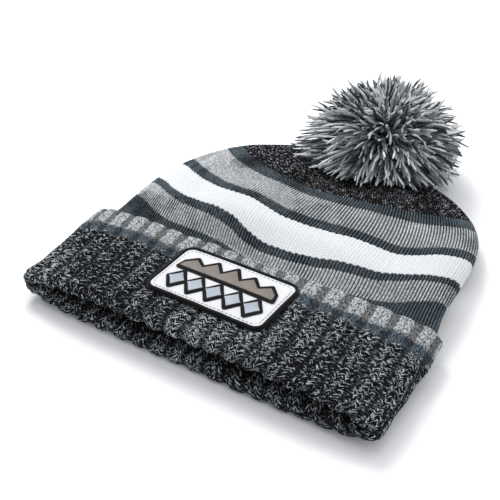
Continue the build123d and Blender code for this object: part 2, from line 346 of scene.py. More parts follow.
class Shader:
    """A Principled material with the few nodes that the textiles here need."""

    def __init__(self, name, roughness=0.95, sheen=0.0):
        self.material = bpy.data.materials.new(name)
        self.material.use_nodes = True
        self.tree = self.material.node_tree
        self.surface = self.tree.nodes["Principled BSDF"]
        self.surface.inputs["Roughness"].default_value = roughness
        self.surface.inputs["Sheen Weight"].default_value = sheen
        self.surface.inputs["Sheen Roughness"].default_value = 0.5
        self.surface.inputs["Specular IOR Level"].default_value = 0.12

    def node(self, kind, inputs=(), output=0, **settings):
        made = self.tree.nodes.new(kind)
        for key, value in settings.items():
            setattr(made, key, value)
        for key, value in dict(inputs).items():
            if hasattr(value, "socket"):
                self.tree.links.new(value.socket, made.inputs[key])
            else:
                made.inputs[key].default_value = value
        return Sum(self.tree, made.outputs[output])

    def place(self):
        return self.node("ShaderNodeTexCoord", output="Object")

    def knit_uv(self):
        uv = self.node("ShaderNodeUVMap", uv_map="knit")
        split = self.node("ShaderNodeSeparateXYZ", {"Vector": uv})
        return split, Sum(self.tree, split.socket.node.outputs[1])

    def vector(self, x, y, z=0.0):
        return self.node("ShaderNodeCombineXYZ", {"X": x, "Y": y, "Z": z})

    def noise(self, vector, scale, detail=2.0, roughness=0.5):
        return self.node(
            "ShaderNodeTexNoise",
            {"Vector": vector, "Scale": scale, "Detail": detail, "Roughness": roughness})

    def mix(self, factor, first, second):
        made = self.node("ShaderNodeMix", {0: factor}, data_type="RGBA")
        node = made.socket.node
        for key, value in ((6, first), (7, second)):
            if hasattr(value, "socket"):
                self.tree.links.new(value.socket, node.inputs[key])
            else:
                node.inputs[key].default_value = (*value, 1.0)
        return Sum(self.tree, node.outputs[2])

    def finish(self, colour, bump=None, strength=0.5, distance=0.0005):
        self.tree.links.new(colour.socket, self.surface.inputs["Base Color"])
        if bump is not None:
            made = self.node("ShaderNodeBump", {"Height": bump, "Strength": strength, "Distance": distance})
            self.tree.links.new(made.socket, self.surface.inputs["Normal"])
        return self.material


def fine_knit_material(name, dark, light, fleck, fleck_share, painted_shade_depth=0.97):
    """Yarn of two tones on the ribs, with painted shade in the grooves and between stitch arms, and stitch arms and
    fibres in relief.
    """
    knit = Shader(name)
    rib, row = knit.knit_uv()
    u = (rib.math("FRACT") - 0.5).math("ABSOLUTE")
    groove = u.step(0.17, 0.36)
    arm = (row + u * 1.1).math("FRACT")
    strand = ((arm - 0.5).math("ABSOLUTE") * 2.0).step(0.15, 0.95)
    heather = knit.noise(knit.vector(rib * 2.1, (row + u * 1.1) * 0.9), 1.0, 2.0)
    drift = knit.noise(knit.place(), 28.0, 2.0)
    specks = knit.noise(knit.vector(rib * 4.0, (row + u * 1.1) * 2.2), 1.0, 2.0)
    tone = heather.step(0.34, 0.66) * 0.50 + specks.step(0.35, 0.65) * 0.35 + drift.step(0.3, 0.7) * 0.15
    colour = knit.mix(tone, dark, light)
    if fleck_share:
        flecks = knit.noise(knit.vector(rib * 0.42, (row + u * 1.3) * 1.15), 1.0, 2.5, 0.65)
        colour = knit.mix(flecks.step(0.62 - fleck_share, 0.68 - fleck_share), colour, fleck)
    # painted shade: the grooves between ribs and the gaps between stitch arms are darkened in the colour, towards a
    # sixth of the dark tone, broken up by the specks
    broken = specks.step(0.30, 0.60) * 0.30 + 0.70
    shade = (1.0 - groove * broken * painted_shade_depth) * (1.0 - strand * 0.3 * painted_shade_depth)
    colour = knit.mix(shade, tuple(c * 0.16 for c in dark), colour)
    fibres = knit.noise(knit.vector(rib * 9.0, row * 3.0), 1.0, 3.0)
    return knit.finish(colour, strand * -0.6 + fibres * 0.35, 0.6, 0.0006)


SLATE = ((0.022, 0.032, 0.040), (0.150, 0.185, 0.212))
HEATHER = ((0.17, 0.18, 0.19), (0.84, 0.86, 0.87))
slate_fine = fine_knit_material("slate_fine_knit", SLATE[0], SLATE[1], (0.16, 0.19, 0.21), 0.03)
heather_fine = fine_knit_material("light_grey_fine_knit", HEATHER[0], HEATHER[1], (0.80, 0.81, 0.82), 0.03)
white_fine = fine_knit_material(
    "white_fine_knit", (0.70, 0.71, 0.72), (0.82, 0.83, 0.84), (0.9, 0.9, 0.9), 0.0, 0.10)
marl_fine = fine_knit_material(
    "black_fine_marl", (0.004, 0.004, 0.005), (0.010, 0.010, 0.012), (0.46, 0.48, 0.50), 0.06)

# each stripe with the arc radius at which it ends
STRIPES = [
    ("slate_stripe_1", 176.0, slate_fine, "slate_knit"),
    ("light_grey_stripe_1", 163.5, heather_fine, "light_grey_heather"),
    ("slate_stripe_2", 158.5, slate_fine, "slate_knit"),
    ("white_stripe", 139.5, white_fine, "white_knit"),
    ("slate_stripe_3", 132.0, slate_fine, "slate_knit"),
    ("light_grey_stripe_2", 108.5, heather_fine, "light_grey_heather"),
    ("slate_stripe_4", 98.0, slate_fine, "slate_knit"),
    ("crown_black_marl", 0.0, marl_fine, "black_marl_fine"),
]
outer_radius = MARL_END
for name, inner_radius, material, slot in STRIPES:
    crown = not inner_radius
    per_rib, per_row = (4, 1.3) if crown else (5, 3)
    relief = FLAT_RELIEF if name == "white_stripe" else RIB_RELIEF
    stripe = knit_stripe(name + "_knit", outer_radius, inner_radius, per_rib, per_row, relief)
    stripe.data.materials.append(material)
    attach(stripe, "hat")
    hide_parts(name)
    outer_radius = inner_radius

# ---- The chunky cuff ----
# A thick two by two rib turned up over itself, about 36 ribs round. Black marl at the fold, then
# slate, then light grey at its free edge; the middle of the front layer lifts.
CUFF_RIBS = 36
CUFF_ROW = 3.1
CUFF_ARM = 0.85
PER_CUFF_RIB = 18
FLAP_REACH = 84.0
FLAP_FROM = 12.0
SLATE_FROM, GREY_FROM, FREE_EDGE = 47.5, 54.0, 70.5
PATCH_AT = (0.43, 39.5)
PATCH_HALF = (36.0, 21.0)
CUFF_RIB_WIDTH = 13.0
# as shares of a rib: the middle and the half width of each of its two plump wales
WALE_AT, WALE_HALF = 0.165, 0.165
EDGE_ROUND = CUFF_LAYER / 2 - 0.05
RIM_ROUND = 4.65
INNER_DEPTH = 2 * RIM_ROUND
# the left end spreads this far at the free edge; the sides stop stretching at the fold
FLARE = 4.5
# the stretches of one layer's path
OUTSIDE, UNDERSIDE, RIM, LINING = 0, 1, 2, 3


def cuff_ring(y, depth, columns):
    """The cuff at one height and depth under its outer face, from the middle of the back round."""
    mid = 0.45 * cuff_top(y)
    high, low = cuff_top(y) - depth, depth
    across = np.sin(np.linspace(-math.pi / 2, math.pi / 2, 240))
    flare = FLARE * smooth(15, FREE_EDGE, y) * np.clip(-across, 0, 1) ** 2
    x = middle(y) + (CUFF_WIDTH / 2 - depth) * across - flare
    y_here = y * (1 + 0.11 * np.abs(across) ** 3)
    top = np.stack([x, y_here, mid + (high - mid) * np.sqrt(1 - np.abs(across) ** 4)], -1)
    bottom = np.stack([x, y_here, mid - (mid - low) * np.sqrt(1 - np.abs(across) ** 5)], -1)
    ring = np.vstack([bottom[120::-1], top[1:], bottom[-2:120:-1]])
    return even_ring(ring, columns)


def cuff_path():
    """Steps of (y, depth, stretch): underside, round the free edge, down the outside, in at the rim."""
    steps = []
    edge = FREE_EDGE - EDGE_ROUND
    for y in np.arange(22, edge, 1.1):
        steps.append((y, 2 * EDGE_ROUND, UNDERSIDE))
    for angle in np.linspace(0, math.pi, 12)[:-1]:
        height, depth = edge + EDGE_ROUND * math.sin(angle), EDGE_ROUND + EDGE_ROUND * math.cos(angle)
        steps.append((height, depth, UNDERSIDE))
    for y in np.arange(edge, RIM_ROUND, -0.62):
        steps.append((y, 0.0, OUTSIDE))
    for angle in np.linspace(0, math.pi, 24):
        steps.append((RIM_ROUND - RIM_ROUND * math.sin(angle), RIM_ROUND - RIM_ROUND * math.cos(angle), RIM))
    for y in np.arange(5.5, 62, 0.95):
        steps.append((y, INNER_DEPTH, LINING))
    return np.array(steps)


def chunky_height(rib, row, plain):
    """Two plump wales of nested stitches on each rib, and a sunk pair of purl wales beside them."""
    u = np.abs(rib - np.floor(rib) - 0.5)
    v = np.clip(np.abs(u - WALE_AT) / WALE_HALF, 0, 1)
    ridge = np.clip(np.cos(np.pi * np.clip(u / 0.84, 0, 0.5)), 0, 1) ** 1.1
    stitch = np.abs(np.sin(np.pi * (row + CUFF_ARM * v))) ** 0.75
    wale = np.sqrt(1 - v**2.6)
    purl = np.abs(np.sin(np.pi * (row + 0.3))) * smooth(0.34, 0.44, u)
    chunky = 1.2 * ridge + (0.25 + 0.95 * stitch) * wale + 0.5 * purl - 1.7
    finer = 0.6 * ridge + (0.50 + 0.30 * stitch) * wale + 0.55 * purl - 1.1
    return chunky * (1 - plain) + finer * plain


path = cuff_path()
cuff_columns = CUFF_RIBS * PER_CUFF_RIB
layer = np.array([cuff_ring(y, depth, cuff_columns) for y, depth, _ in path])
cuff_turn = np.arange(cuff_columns) / cuff_columns
travel = np.concatenate([[0], np.cumsum(np.linalg.norm(np.diff(path[:, :2], axis=0), axis=1))])
travel = travel - travel[np.argmin(np.abs(path[:, 0] - FREE_EDGE) + (path[:, 1] > 3) * 99)]
rib = np.repeat((cuff_turn * CUFF_RIBS)[None], len(path), 0)
down = np.repeat(travel[:, None], cuff_columns, 1)
rib = rib + 0.055 * wobble(layer[..., 0], layer[..., 1], 21, 60) + 0.03 * wobble(rib * CUFF_RIB_WIDTH, down, 22, 14)
row = down / CUFF_ROW + 0.10 * wobble(rib * CUFF_RIB_WIDTH, down, 23, 22)
# close to the free edge the ribs stand out and the grooves draw back
crest = np.cos(math.tau * (rib - 0.5))
kind = path[:, 2][:, None]
edge_share = smooth(48, FREE_EDGE, path[:, 0])[:, None] * (kind < RIM)
layer[..., 1] += edge_share * (0.4 * crest + 0.9 * wobble(rib, 0 * rib, 24, 5.0) - 0.3)
cuff_normal = -normals_of(layer)
lift = chunky_height(rib, row, 1 - smooth(14, 23, np.abs(down)))
lift = lift + 0.35 * wobble(rib * CUFF_RIB_WIDTH, down, 25, 25)
lift = np.where(kind == RIM, 0.7 * lift - 0.1, lift)
lift = np.where(kind == UNDERSIDE, 0.35 * lift - 0.2, lift)
# the patch presses the ribs down where it is sewn on
beside_patch = np.maximum(
    np.abs(layer[..., 0] - PATCH_AT[0]) - PATCH_HALF[0], np.abs(layer[..., 1] - PATCH_AT[1]) - PATCH_HALF[1])
near_patch = 1 - smooth(0, 2.2, beside_patch)
near_patch = near_patch * (kind == OUTSIDE) * (layer[..., 2] > 15)
lift = lift * (1 - near_patch) + np.minimum(lift, -1.1) * near_patch
cuff_grid = layer + cuff_normal * lift[..., None]
cuff_grid[..., 2] = np.clip(cuff_grid[..., 2], 0.05, None)
cuff_uv = np.stack([rib, down], -1)

chunky = Shader("cuff_knit")
rib_at, down_at = chunky.knit_uv()
u = (rib_at.math("FRACT") - 0.5).math("ABSOLUTE")
v = ((u - WALE_AT).math("ABSOLUTE") * (1 / WALE_HALF)).math("MINIMUM", 1.0)
arm = down_at * (1 / CUFF_ROW) + v * CUFF_ARM
strand = ((arm.math("FRACT") - 0.5).math("ABSOLUTE") * 2.0)
along = rib_at * CUFF_RIB_WIDTH
plies = chunky.noise(chunky.vector(along * 0.42, arm * 3.3), 1.0, 2.0, 0.55)
fine = chunky.noise(chunky.vector(along * 1.1, arm * 8.0), 1.0, 2.0, 0.6)
broad = chunky.noise(chunky.place(), 24.0, 2.0)
fleck = (plies * 0.75 + fine * 0.25 + broad * 0.14).step(0.607, 0.65)
pale_ply = chunky.mix(fine.step(0.35, 0.65), (0.25, 0.29, 0.32), (0.60, 0.64, 0.66))
marl = chunky.mix(fleck, (0.004, 0.004, 0.005), pale_ply)
strokes = chunky.noise(chunky.vector(along * 1.3, arm * 1.5), 1.0, 2.0, 0.55)
slate = chunky.mix(strokes.step(0.4, 0.62), (0.032, 0.045, 0.056), (0.12, 0.15, 0.175))
grey = chunky.mix(strokes.step(0.36, 0.62), (0.10, 0.11, 0.115), (0.60, 0.615, 0.62))
shift = (plies - 0.5) * 7.0 + (fine - 0.5) * 4.0 + (broad - 0.5) * 9.0
place = down_at.math("ABSOLUTE") + shift
band = chunky.mix(place.step(14.5, 17.5), grey, slate)
band = chunky.mix(place.step(21.5, 25.0), band, marl)
# painted shade: the purl grooves, the gaps between stitches and thin lines between the wales of the plain bands by
# the free edge are darkened in the colour towards near black
groove = u.step(0.30, 0.46)
plain_band = 1.0 - place.step(19.0, 25.0)
shade_between_wales = v.step(0.78, 1.0) * plain_band * 0.6
strand_shade = 1.0 - strand.step(0.55, 1.0) * (0.60 - plain_band * 0.38)
shade = (1.0 - groove * (0.80 - plain_band * 0.64)) * strand_shade * (1.0 - shade_between_wales)
cuff_colour = chunky.mix(shade, (0.004, 0.004, 0.005), band)
hairs = chunky.noise(chunky.vector(along * 2.4, arm * 16.0), 1.0, 2.0)
cuff_material = chunky.finish(cuff_colour, hairs * 0.5 + plies * 0.5 - strand * 0.3, 0.7, 0.0009)

front = (layer[..., 2] > 12) & (np.abs(layer[..., 0] - PATCH_AT[0]) <= FLAP_REACH)


def path_step(y, wanted_kind):
    """The path's step nearest a height, on one stretch of the layer."""
    return int(np.argmin(np.abs(path[:, 0] - y) + (path[:, 2] != wanted_kind) * 999))


reference = path_step(36, OUTSIDE)
flap_columns = np.nonzero(front[reference])[0]
flap_first, flap_last = flap_columns[0], flap_columns[-1]
fold_left = int(np.argmin(layer[reference, :, 0]))
fold_right = int(np.argmax(layer[reference, :, 0]))


def cuff_piece(name, spans, nodes=()):
    """A piece of the cuff from spans of (first row, last row, first column, last column)."""
    points, uvs, faces, start = [], [], [], 0
    for r0, r1, c0, c1 in spans:
        columns = np.arange(c0, c1 + 1) % cuff_columns
        block = cuff_grid[r0:r1 + 1][:, columns]
        block_uv = cuff_uv[r0:r1 + 1][:, columns]
        points.append(block.reshape(-1, 3))
        uvs.append(block_uv.reshape(-1, 2))
        faces.append(grid_faces(r1 - r0 + 1, c1 - c0 + 1, False, start)[:, ::-1])
        start += block.shape[0] * block.shape[1]
    piece = mesh_object(name, to_frame(np.vstack(points)), np.vstack(faces), np.vstack(uvs))
    piece.data.materials.append(cuff_material)
    if nodes:
        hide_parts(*nodes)
    return piece


grey_end = path_step(GREY_FROM, OUTSIDE)
slate_end = path_step(SLATE_FROM, OUTSIDE)
flap_end = path_step(FLAP_FROM, OUTSIDE)
grey_start = path_step(GREY_FROM, UNDERSIDE)
slate_start = path_step(SLATE_FROM, UNDERSIDE)
inner_start = int(np.nonzero(path[:, 2] == LINING)[0][0])
bands = [
    ("light_grey_edge", "light_grey_heather", [(grey_start, grey_end)]),
    ("slate_band", "slate_knit", [(grey_end, slate_end), (slate_start, grey_start)]),
    ("marl_rib", "black_marl_rib", [(slate_end, flap_end), (0, slate_start)]),
]
for name, slot, spans in bands:
    flap = cuff_piece(
        f"cuff_{name}_front", [(a, b, flap_first, flap_last) for a, b in spans], [f"cuff_{name}_flap"])
    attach(flap, "front_cuff")
    for side, c0, c1, sign in (("left", fold_left, flap_first, -1), ("right", flap_last, fold_right, 1)):
        corner = cuff_piece(f"cuff_{name}_{side}", [(a, b, c0, c1) for a, b in spans])
        start = to_frame((PATCH_AT[0] + sign * FLAP_REACH, 40, 20))
        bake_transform(corner)
    back_spans = [(a, b, fold_right, fold_left + cuff_columns) for a, b in spans]
    if name == "marl_rib":
        back_spans.append((flap_end, inner_start, 0, cuff_columns))
    rest = cuff_piece(f"cuff_{name}_back", back_spans, [f"cuff_{name}"])
    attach(rest, "hat")
lining_span = (inner_start, len(path) - 1, 0, cuff_columns)
lining = cuff_piece("cuff_marl_rib_inside", [lining_span], ["cuff_marl_rib"])
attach(lining, "hat")

# ---- The patch ----
# White twill on stiff felt, sewn to the front of the cuff: a thick black overlocked border, a
# blue-grey line of stitches inside it, and a plain embroidered ridge over a row of diamonds.
PATCH_CORNER = 6.0
PATCH_SEAT = 0.8
BORDER_WIDTH, BORDER_HEIGHT = 1.9, 2.5
TWILL_TOP = 1.9


def on_patch(points):
    """Patch millimetres (right, towards the crown, height above its seat) to the hat's frame."""
    points = np.asarray(points, float)
    x, y, height = points[..., 0], points[..., 1], points[..., 2]
    bow = 0.35 * (x / PATCH_HALF[0]) ** 2
    seat = cuff_top(PATCH_AT[1] + y) - PATCH_SEAT
    return to_frame(np.stack([PATCH_AT[0] + x, PATCH_AT[1] + y, seat + height - bow], -1))


def patch_path(inset, count):
    """Points and outward directions at equal steps round the patch, inset from its outline."""
    half_x, half_y = PATCH_HALF[0] - inset, PATCH_HALF[1] - inset
    corner = max(PATCH_CORNER - 0.6 * inset, 0.5)
    points = []
    for cx, cy, start in ((1, 1, 0), (-1, 1, 90), (-1, -1, 180), (1, -1, 270)):
        for angle in np.radians(np.linspace(start, start + 90, 24)):
            points.append((cx * (half_x - corner) + corner * math.cos(angle),
                           cy * (half_y - corner) + corner * math.sin(angle), 0.0))
    even = even_ring(np.array(points), count)
    along = np.roll(even, -1, 0) - np.roll(even, 1, 0)
    along /= np.linalg.norm(along, axis=1, keepdims=True)
    return even, np.stack([along[:, 1], -along[:, 0], 0 * along[:, 0]], -1)


# twill: a thin closed sheet, slightly pillowed by the stitches that hold it
nx, ny = 132, 72
gx, gy = np.meshgrid(np.linspace(-1, 1, nx), np.linspace(-1, 1, ny))
half = np.array(PATCH_HALF) - BORDER_WIDTH * 0.75
corner = PATCH_CORNER - 1.2
px, py = gx * half[0], gy * half[1]
over_x, over_y = np.abs(px) - (half[0] - corner), np.abs(py) - (half[1] - corner)
in_corner = (over_x > 0) & (over_y > 0)
reach = np.maximum(np.maximum(over_x, over_y), 1e-6) / np.maximum(np.hypot(over_x, over_y), 1e-6)
px = np.where(in_corner, np.sign(px) * (half[0] - corner + over_x * reach), px)
py = np.where(in_corner, np.sign(py) * (half[1] - corner + over_y * reach), py)
rim = np.minimum(half[0] - np.abs(px), half[1] - np.abs(py))
pillow = 0.25 * smooth(0.0, 3.0, rim) - 0.16 * np.exp(-(((rim - 1.9) / 0.45) ** 2))
pillow = pillow + 0.06 * wobble(px, py, 31, 12)
top = np.stack([px, py, TWILL_TOP - 0.25 + pillow], -1)
low = np.stack([px, py, pillow * 0 + TWILL_TOP - 0.6], -1)
faces = np.vstack([grid_faces(ny, nx), grid_faces(ny, nx, False, nx * ny)[:, ::-1]])
border_loop = np.concatenate([
    np.arange(nx), np.arange(1, ny) * nx + nx - 1, (ny - 1) * nx + np.arange(nx - 2, -1, -1),
    np.arange(ny - 2, 0, -1) * nx])
after = np.roll(border_loop, -1)
rim_faces = np.stack([after, border_loop, border_loop + nx * ny, after + nx * ny], -1)
twill_points = np.vstack([top.reshape(-1, 3), low.reshape(-1, 3)])
twill = mesh_object(
    "patch_twill_cloth", on_patch(twill_points), np.vstack([faces, rim_faces]), twill_points[:, :2])
weave = Shader("white_twill", 0.8, 0.1)
tx, ty = weave.knit_uv()
diagonal = ((tx * 0.9 + ty * 1.6).math("FRACT") - 0.5).math("ABSOLUTE") * 2.0
cross = ((ty * 3.1).math("FRACT") - 0.5).math("ABSOLUTE") * 2.0
soil = weave.noise(weave.place(), 90.0, 3.0)
# painted shade: the valleys between the diagonal twill ribs are darker in the colour and the ribs lighter; soil
# adds blotchy uneven tone
twill_colour = weave.mix(diagonal * 0.6 + soil * 0.4, (0.66, 0.66, 0.67), (0.84, 0.84, 0.845))
twill.data.materials.append(weave.finish(twill_colour, diagonal * 0.8 + cross * 0.35, 0.5, 0.0002))
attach(twill, "front_cuff")
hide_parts("patch_twill")

# border: thread wrapped over the edge, about one wrap each 0.9 mm, slanting
WRAPS, POINTS_A_WRAP = 232, 6
WRAP_SLANT = 0.28
ring_count, profile_count = WRAPS * POINTS_A_WRAP, 18
line, out_dir = patch_path(BORDER_WIDTH / 2, ring_count)
phi = np.linspace(0, math.tau, profile_count, endpoint=False)
turn_at = np.arange(ring_count)[:, None] / POINTS_A_WRAP
wrap = np.abs(np.sin(np.pi * (turn_at + WRAP_SLANT * np.cos(phi)[None]))) ** 0.7
swell = 1 + 0.05 * wobble(turn_at, 0 * turn_at, 33, 19)
side = (BORDER_WIDTH / 2 + 0.12) * np.cos(phi)[None] * swell
rise = BORDER_HEIGHT / 2 * (1 + np.sign(np.sin(phi)) * np.abs(np.sin(phi)) ** 0.8)[None] * swell
extra = 0.2 * (wrap - 0.6)
border_points = line[:, None] + out_dir[:, None] * (side + extra * np.cos(phi)[None])[..., None]
border_points[..., 2] += rise + extra * np.maximum(np.sin(phi), 0)[None]
i, j = np.meshgrid(np.arange(ring_count), np.arange(profile_count), indexing="ij")
i2, j2 = (i + 1) % ring_count, (j + 1) % profile_count
border_faces = np.stack([i, i2, i2, i], -1) * profile_count + np.stack([j, j, j2, j2], -1)
border_uv = np.stack([turn_at + 0 * wrap, WRAP_SLANT * np.cos(phi)[None] + 0 * wrap], -1).reshape(-1, 2)
border = mesh_object(
    "patch_border_thread", on_patch(border_points.reshape(-1, 3)),
    border_faces.reshape(-1, 4)[:, ::-1], border_uv)


def thread_material(name, dark, light, roughness=0.42, specular=0.5):
    """Glossy twisted thread: fine lines along the strand and a slow change of tone."""
    thread = Shader(name, roughness, 0.1)
    thread.surface.inputs["Specular IOR Level"].default_value = specular
    a, b = thread.knit_uv()
    fine = thread.noise(thread.vector(a * 4.0, b * 0.8), 1.0, 2.0)
    slow = thread.noise(thread.place(), 160.0, 2.0)
    return thread.finish(thread.mix(fine * 0.6 + slow * 0.4, dark, light), fine, 0.4, 0.00015)


black_thread = thread_material("black_satin_thread", (0.0015, 0.0015, 0.002), (0.007, 0.007, 0.008), 0.6, 0.1)
border.data.materials.append(black_thread)
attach(border, "front_cuff")
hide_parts("patch_merrowed_border")


def threads(name, lines, radius, arch, material, nodes=()):
    """Half-round threads from (x, y, height) to (x, y, height), each arched over its middle."""
    lines = np.asarray(lines, float)
    steps, sides = 8, 6
    share = np.linspace(0, 1, steps)
    angle = np.linspace(0, math.pi, sides)
    first = lines[:, 0]
    run = lines[:, 1] - first
    length = np.linalg.norm(run[:, :2], axis=1, keepdims=True)
    sideways = np.stack([-run[:, 1], run[:, 0]], -1) / np.maximum(length, 1e-6)
    centre = first[:, None] + run[:, None] * share[None, :, None]
    blunt = np.sqrt(np.clip(1 - np.abs(2 * share - 1) ** 6, 0.05, 1))
    points = np.repeat(centre[:, :, None], sides, 2)
    offset = radius * np.cos(angle)[None, :] * blunt[:, None]
    points[..., :2] += sideways[:, None, None] * offset[None, ..., None]
    dome = (arch * np.sin(np.pi * share) ** 0.6)[:, None] + radius * np.sin(angle)[None, :] * blunt[:, None]
    points[..., 2] += dome[None]
    uv = np.stack([points[..., 0] * 0 + angle[None, None], points[..., 1] + points[..., 0]], -1)
    block = grid_faces(steps, sides)
    faces = (np.arange(len(lines)) * steps * sides)[:, None, None] + block[None]
    made = mesh_object(
        name, on_patch(points.reshape(-1, 3)), faces.reshape(-1, 4)[:, ::-1], uv.reshape(-1, 2))
    made.data.materials.append(material)
    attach(made, "front_cuff")
    if nodes:
        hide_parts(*nodes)
    return made


THREAD_RADIUS = 0.25
# the sewing line: stitches of about 2 mm that sink at their ends
SEWING_INSET, SEWING_SINK = BORDER_WIDTH + 1.4, 0.32
SEWING_POINTS, STITCH_STEP = 400, 5
sewing = thread_material("blue_grey_sewing_thread", (0.20, 0.24, 0.29), (0.40, 0.45, 0.52))
line, _ = patch_path(SEWING_INSET, SEWING_POINTS)
stitches = []
for start in range(0, SEWING_POINTS, STITCH_STEP):
    a, b = line[start], line[(start + STITCH_STEP - 1) % SEWING_POINTS]
    stitches.append(((a[0], a[1], TWILL_TOP - SEWING_SINK), (b[0], b[1], TWILL_TOP - SEWING_SINK)))
threads("patch_sewing_stitches", stitches, 0.27, 0.18, sewing, ["patch_sewing_line"])

# satin stitch: close parallel threads over a black ground, and black stitches across each outline
draw = random.Random(41)
PEAKS = [11.5, 13.8, 14.8, 13.0, 11.5]
MOTIF_WIDTH, RIDGE_BASE, RIDGE_VALLEY = 58.0, 1.9, 7.0
DIAMOND_ROW, DIAMOND_HALF_HEIGHT = -8.0, 6.8
pitch = MOTIF_WIDTH / len(PEAKS)
left = -MOTIF_WIDTH / 2
outline = [(left, RIDGE_BASE), (left + 0.1 * pitch, RIDGE_VALLEY)]
for number, peak in enumerate(PEAKS):
    outline.append((left + (number + 0.5) * pitch, peak))
    if number < len(PEAKS) - 1:
        outline.append((left + (number + 1) * pitch, RIDGE_VALLEY))
outline += [(-left - 0.1 * pitch, RIDGE_VALLEY), (-left, RIDGE_BASE)]
skyline = np.array(outline)
SATIN, GROUND = 0.42, TWILL_TOP + 0.5
ridge_threads = []
for x in np.arange(left + 0.5, -left - 0.4, SATIN):
    high = np.interp(x, skyline[:, 0], skyline[:, 1])
    if high - RIDGE_BASE > 1.0:
        jog = draw.uniform(-0.12, 0.12)
        ridge_threads.append(((x - 0.25, RIDGE_BASE + jog, GROUND), (x + 0.25, high + jog, GROUND)))
taupe = thread_material("taupe_satin_thread", (0.11, 0.09, 0.075), (0.36, 0.31, 0.27), 0.36)
threads(
    "motif_taupe_satin", ridge_threads, THREAD_RADIUS, 0.45, taupe, ["motif_taupe_ridge"])
diamond_threads, edges = [], [list(map(tuple, skyline)) + [tuple(skyline[0])]]
for number in range(len(PEAKS)):
    half = pitch / 2 - 0.8
    centre = left + (number + 0.5) * pitch
    corners = [(centre - half, DIAMOND_ROW), (centre, DIAMOND_ROW + DIAMOND_HALF_HEIGHT),
               (centre + half, DIAMOND_ROW), (centre, DIAMOND_ROW - DIAMOND_HALF_HEIGHT)]
    edges.append(corners + corners[:1])
    for x in np.arange(centre - half + 0.4, centre + half - 0.3, SATIN):
        tall = DIAMOND_HALF_HEIGHT * (1 - abs(x - centre) / half)
        jog = draw.uniform(-0.12, 0.12)
        diamond_threads.append(((x, DIAMOND_ROW - tall + jog, GROUND), (x, DIAMOND_ROW + tall + jog, GROUND)))
silver = thread_material("silver_satin_thread", (0.20, 0.24, 0.30), (0.66, 0.71, 0.77), 0.32)
threads(
    "motif_silver_satin", diamond_threads, THREAD_RADIUS, 0.4, silver,
    ["motif_silver_diamonds"])
OUTLINE_STEP, OUTLINE_OVER, OUTLINE_PAST = 0.40, 0.75, 1.4
outline_threads = []
for loop in edges:
    area = sum(a[0] * b[1] - b[0] * a[1] for a, b in zip(loop, loop[1:]))
    for a, b in zip(loop, loop[1:]):
        run = np.subtract(b, a)
        length = np.hypot(*run)
        normal = np.array([run[1], -run[0]]) / length * math.copysign(1, area)
        for share in np.arange(0, 1, OUTLINE_STEP / length):
            at = np.add(a, run * share)
            near = at - normal * OUTLINE_OVER
            far = at + normal * (OUTLINE_PAST + draw.uniform(-0.08, 0.08))
            outline_threads.append(((*near, GROUND), (*far, GROUND - 0.35)))
threads("motif_black_satin", outline_threads, THREAD_RADIUS, 0.5, black_thread)

# ---- The pom ----
# Lengths of soft plied yarn in white, two greys and slate, bound round the middle and cut to a
# loose ball. It rests on the table behind the crown, and its lower strands hang over the crown.
POM_CENTRE = np.array((0.0, 225.0, 33.8))
POM_REACH = np.array((46.5, 47.5, 36.3))
POM_TOP, POM_SIDE, POM_BACK = 73.5, 49.5, 273.5
STRANDS, STRAND_STEPS, STRAND_SIDES = 2700, 12, 6
YARN_RADIUS = 0.68
BOUND_RADIUS = 5
TUFTS, TUFT_PULL = 110, 0.30
CURL, KINK, DROOP = 8.5, 2.4, 8.0
DRAPE = 0.26
shuffle = np.random.default_rng(12)

number = np.arange(STRANDS) + 0.5
polar = np.arccos(1 - 2 * number / STRANDS)
azimuth = math.pi * (1 + 5**0.5) * number
heading = np.stack([np.cos(azimuth) * np.sin(polar), np.sin(azimuth) * np.sin(polar), np.cos(polar)], -1)
heading += shuffle.normal(0, 0.10, heading.shape)
tufts = shuffle.normal(0, 1, (TUFTS, 3))
tufts /= np.linalg.norm(tufts, axis=1, keepdims=True)
heading += TUFT_PULL * tufts[np.argmax(heading @ tufts.T, axis=1)]
heading /= np.linalg.norm(heading, axis=1, keepdims=True)
full = 1 / np.sqrt(((heading / POM_REACH) ** 2).sum(1))
cut = full * np.clip(shuffle.normal(0.95, 0.085, STRANDS), 0.70, 1.12)
cut = cut * (1 + DRAPE * np.clip(-heading[:, 1], 0, 1))
share = np.linspace(0, 1, STRAND_STEPS)
sway_a = np.cross(heading, shuffle.normal(0, 1, heading.shape))
sway_a /= np.linalg.norm(sway_a, axis=1, keepdims=True)
sway_b = np.cross(heading, sway_a)
curl = shuffle.normal(0, CURL, (STRANDS, 1, 1)) * (share**2)[None, :, None]
kink = shuffle.normal(0, KINK, (STRANDS, 1, 1)) * np.sin(share * math.pi * 1.7 + 0.4)[None, :, None]
walk = BOUND_RADIUS + (cut - BOUND_RADIUS)[:, None] * share[None]
strand = POM_CENTRE + heading[:, None] * walk[..., None]
strand = strand + sway_a[:, None] * curl + sway_b[:, None] * kink
flat_share = np.hypot(heading[:, 0], heading[:, 1])[:, None]
strand[..., 2] -= DROOP * flat_share * share[None] ** 2
